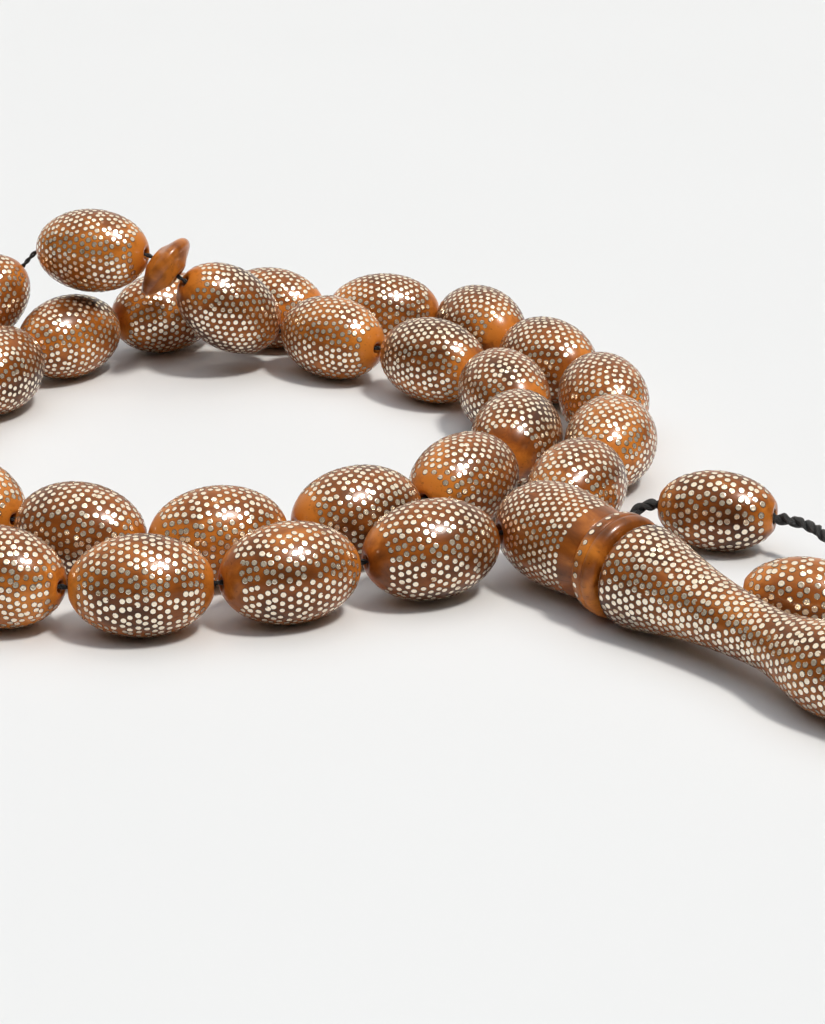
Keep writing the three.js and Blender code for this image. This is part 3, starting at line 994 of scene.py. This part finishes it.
def string_points():
    """The string from the foot, through the imam, every piece in turn, and back to the foot."""
    sizes = bpy.context.scene.bead_sizes
    ways = []
    for name in STRAND:
        joint = JOINTS[name]
        axis, centre = Vector(joint["axis"]).normalized(), Vector(joint["pos_m"])
        if name in BEADS:
            reach = HELD_IN_BEAD * sizes.bead_length
        else:
            reach = HELD_IN_DIVIDER * sizes.divider_thickness
        # Beside a piece that slides, the string is straight over all of its travel.
        travel = joint["range_m"][1] if joint["type"] == "slide" else 0
        ways.append((centre - axis * reach, centre + axis * (reach + travel), axis))
    cross = cross_way()
    side = IMAM_AXIS.cross(Vector((0, 0, 1))).normalized()
    side = side if side.dot(cross) > 0 else -side

    def lead(sign):
        """One of the two strings side by side in the imam, from the head's bore to the foot."""
        beside = side * sign * (sizes.string_diameter / 2 + 0.1 * MM)
        points = [imam_at(CROSS_AT) + cross * sign * 2.4 * MM,
                  imam_at(CROSS_AT + 0.12 * MM) + cross * sign * 1.0 * MM]
        points += [imam_at(s * MM) + beside for s in INSIDE_IMAM]
        return points + [imam_at(FOOT_END + 1.6 * MM) + beside * 0.5]

    first, last = lead(1), lead(-1)
    points = first[::-1]
    points += bent(first[0], cross, ways[0][0], ways[0][2])
    for (a, b, axis), after in zip(ways, ways[1:] + [None]):
        points += [a, (a + b) / 2, b]
        if after:
            points += bent(b, axis, after[0], after[2])
    points += bent(ways[-1][1], ways[-1][2], last[0], cross)
    return points + last


def twisted(name, points, diameter, lay, rng, sides, ply, ridge=0.0):
    """A cord of two plies laid round each other, each with its own ridges where it has them."""
    lines = plies(points, diameter, 2, lay, rng)
    return [sweep(f"{name}_{k}", line, lambda i: round_ring(diameter * ply, sides, ridge, i * 0.35))
            for k, line in enumerate(lines)]


def build_string():
    """The one thin string through everything, from the foot round to the foot."""
    thick = bpy.context.scene.bead_sizes.string_diameter * 0.82
    points, _ = even_points(string_points(), 0.24 * MM)
    meshes = twisted("lead", points, thick, 1.9 * MM, np.random.default_rng(601), 5, 0.28)
    stand_for(joined("beading_string", meshes), "loop_string", "strand")


def build_knot(node, centre, axis, across, thick, seed):
    """A knot of two tight turns, one across the other."""
    meshes = []
    for k, (way, wide) in enumerate(((axis, across), (axis.orthogonal(), across * 0.93))):
        line = knot_line(centre, way, wide, thick, seed + k)
        meshes.append(closed_tube(f"{node}_{'ab'[k]}", line, thick / 2, 10, 0.10, 12))
    ob = joined(node + "_tied", meshes)
    stand_for(ob, node, "strand")
    return ob


def build_tassel_cord(i):
    """One cord of the tassel, laid along its route."""
    thick = bpy.context.scene.bead_sizes.cord_diameter
    route = tassel_route(i)
    inside = foot_knot_at() + (route[0] - foot_knot_at()) * 0.35
    beyond = route[-1] + (route[-1] - route[-2]).normalized() * 0.9 * MM
    points, _ = even_points([inside] + route + [beyond], 0.16 * MM)
    path, length = even_points(route, 0.8 * MM)
    meshes = twisted(f"ply{i}", points, thick, 2.9 * MM, np.random.default_rng(610 + i), 9, 0.325, 0.17)
    ob = joined(f"tassel_line_{i + 1}", meshes)
    stand_for(ob, f"tassel_cord_{i + 1}", "strand")
    tuple(route[0])
    [tuple(p) for p in path]


# ---- stage

# Each light: name, the way it lies, how wide it looks in degrees, strength, colour.
# Glow is seen only as a shine on the pieces, and overhead lights them without a shine.
LIGHTS = [
    ("key", (0.36, -0.27, 0.89), 9, 2.0, (1.0, 0.955, 0.885)),
    ("glow", (0.36, -0.27, 0.89), 20, 2.4, (1.0, 0.96, 0.90)),
    ("lamp_back", (0.02, 0.31, 0.95), 3.0, 0.10, (1.0, 0.84, 0.62)),
    ("lamp_near", (0.11, -0.17, 0.98), 2.6, 0.08, (1.0, 0.84, 0.62)),
    ("overhead", (-0.03, 0.10, 1.0), 95, 1.66, (0.91, 0.985, 1.07)),
]
# The world lights nothing: it is only what shines back. Its pale part lies this way.
WORLD_BRIGHT_WAY = (-0.05, 0.62, 0.78)
WORLD_PALE, WORLD_DIM = (0.94, 0.90, 0.83, 1), (0.13, 0.115, 0.10, 1)
FLOOR_CORNERS = [(-3, -1.5, 0), (3, -1.5, 0), (3, 6, 0), (-3, 6, 0)]
CAMERA_AT = (0.013, -0.265051, 0.10915)
# How far it looks down, in degrees, and its lens and sensor in millimetres.
CAMERA_DIP = 22.267
CAMERA_LENS, CAMERA_SENSOR = 94.66, 36


# ---- operators

class Build:
    bl_options = {"REGISTER", "UNDO"}


class BEADS_OT_finishes(Build, bpy.types.Operator):
    """Makes the wood, silver, filler and thread"""
    bl_idname = "beads.finishes"
    bl_label = "Finishes"

    def execute(self, context):
        look = context.scene.inlay_look
        for make in (wood_finish, silver_finish, filler_finish, thread_finish):
            make(look)
        return {"FINISHED"}


class BEADS_OT_eggs(Build, bpy.types.Operator):
    """Turns and inlays the thirty-three beads of the strand"""
    bl_idname = "beads.eggs"
    bl_label = "Beads"

    def execute(self, context):
        sizes = context.scene.bead_sizes
        rng = np.random.default_rng(context.scene.inlay_look.seed)
        for k, name in enumerate(BEADS):
            plain = (rng.uniform(0.16, 0.28), rng.uniform(0.08, 0.18))
            tone = rng.uniform(-0.12, 0.10)
            egg(name, sizes.bead_diameter, sizes.bead_length, sizes.end_radius, sizes.bore_radius,
                100 + k, plain, tone)
        return {"FINISHED"}


class BEADS_OT_dividers(Build, bpy.types.Operator):
    """Turns the two divider discs"""
    bl_idname = "beads.dividers"
    bl_label = "Dividers"

    def execute(self, context):
        for name in ("divider_1", "divider_2"):
            build_divider(name)
        return {"FINISHED"}


class BEADS_OT_imam(Build, bpy.types.Operator):
    """Turns and inlays the imam's head, collar and body"""
    bl_idname = "beads.imam"
    bl_label = "Imam"

    def execute(self, context):
        build_head()
        build_collar()
        build_imam_body()
        return {"FINISHED"}


class BEADS_OT_string(Build, bpy.types.Operator):
    """Threads the strand and ties the knot under the imam"""
    bl_idname = "beads.string"
    bl_label = "String"

    def execute(self, context):
        build_string()
        build_knot("foot_knot", foot_knot_at(), IMAM_AXIS, FOOT_KNOT * KNOT_FILL, 1.1 * MM, 51)
        return {"FINISHED"}


class BEADS_OT_tassel(Build, bpy.types.Operator):
    """Lays the two cords of the tassel with their beads and knots"""
    bl_idname = "beads.tassel"
    bl_label = "Tassel"

    def execute(self, context):
        sizes = context.scene.bead_sizes
        for i in range(2):
            name = f"tassel_bead_{i + 1}"
            bore = sizes.cord_diameter / 2 + 0.2 * MM
            bead = egg(name, sizes.tassel_diameter, sizes.tassel_length, 1.5 * MM, bore, 301 + i,
                       plain=(0.22, 0.20), tone=(-0.08, 0.06)[i], spread=1.12, size=1.10)
            route = tassel_route(i)
            end = f"tassel_knot_{i + 1}"
            knot = build_knot(end, middle_of(end), (route[-1] - route[-2]).normalized(),
                              TASSEL_KNOT * KNOT_FILL, sizes.cord_diameter * 0.85, 61 + i)
            build_tassel_cord(i)
        return {"FINISHED"}


class BEADS_OT_stage(Build, bpy.types.Operator):
    """Sets the camera, the pale floor and the soft studio light"""
    bl_idname = "beads.stage"
    bl_label = "Stage"

    def execute(self, context):
        scene = context.scene
        floor = bpy.data.meshes.new("floor")
        floor.from_pydata(FLOOR_CORNERS, [], [(0, 1, 2, 3)])
        floor.materials.append(floor_finish())
        linked("floor", floor)
        for name, way, angle, strength, color in LIGHTS:
            light = bpy.data.lights.new(name, "SUN")
            light.angle = math.radians(angle)
            light.energy = strength
            light.color = color
            ob = linked(name, light)
            ob.location = Vector(way) * 2
            ob.rotation_euler = Vector(way).to_track_quat("Z", "Y").to_euler()
            ob.visible_glossy = name != "overhead"
            ob.visible_diffuse = name != "glow"
        scene.world = studio_world()
        scene.world.cycles_visibility.diffuse = False
        cam = bpy.data.cameras.new("camera")
        cam.lens, cam.sensor_width = CAMERA_LENS, CAMERA_SENSOR
        cam.clip_start, cam.clip_end = 0.01, 20
        eye = linked("camera", cam)
        eye.location = CAMERA_AT
        eye.rotation_euler = (math.radians(90 - CAMERA_DIP), 0, 0)
        scene.camera = eye
        scene.view_settings.view_transform = "Standard"
        return {"FINISHED"}


class BEADS_PT_sidebar(bpy.types.Panel):
    bl_label = "Inlaid Prayer Beads"
    bl_space_type = "VIEW_3D"
    bl_region_type = "UI"
    bl_category = "Beads"

    def draw(self, context):
        for group in (context.scene.bead_sizes, context.scene.inlay_look):
            column = self.layout.column()
            for key in group.__annotations__:
                column.prop(group, key)
        for op in STEPS:
            self.layout.operator(op.bl_idname)


STEPS = (BEADS_OT_finishes, BEADS_OT_stage, BEADS_OT_tassel, BEADS_OT_eggs, BEADS_OT_dividers,
         BEADS_OT_imam, BEADS_OT_string)
CLASSES = (BeadSizes, InlayLook, *STEPS, BEADS_PT_sidebar)


def register():
    for cls in CLASSES:
        bpy.utils.register_class(cls)
    bpy.types.Scene.bead_sizes = PointerProperty(type=BeadSizes)
    bpy.types.Scene.inlay_look = PointerProperty(type=InlayLook)


def unregister():
    del bpy.types.Scene.bead_sizes
    del bpy.types.Scene.inlay_look
    for cls in reversed(CLASSES):
        bpy.utils.unregister_class(cls)


def main():
    register()
    for op in STEPS:
        group, name = op.bl_idname.split(".")
        if getattr(getattr(bpy.ops, group), name)() != {"FINISHED"}:
            raise RuntimeError(op.bl_label + " was not finished")
    bpy.data.objects.remove(made.pop("pin"))


if __name__ == "__main__":
    main()
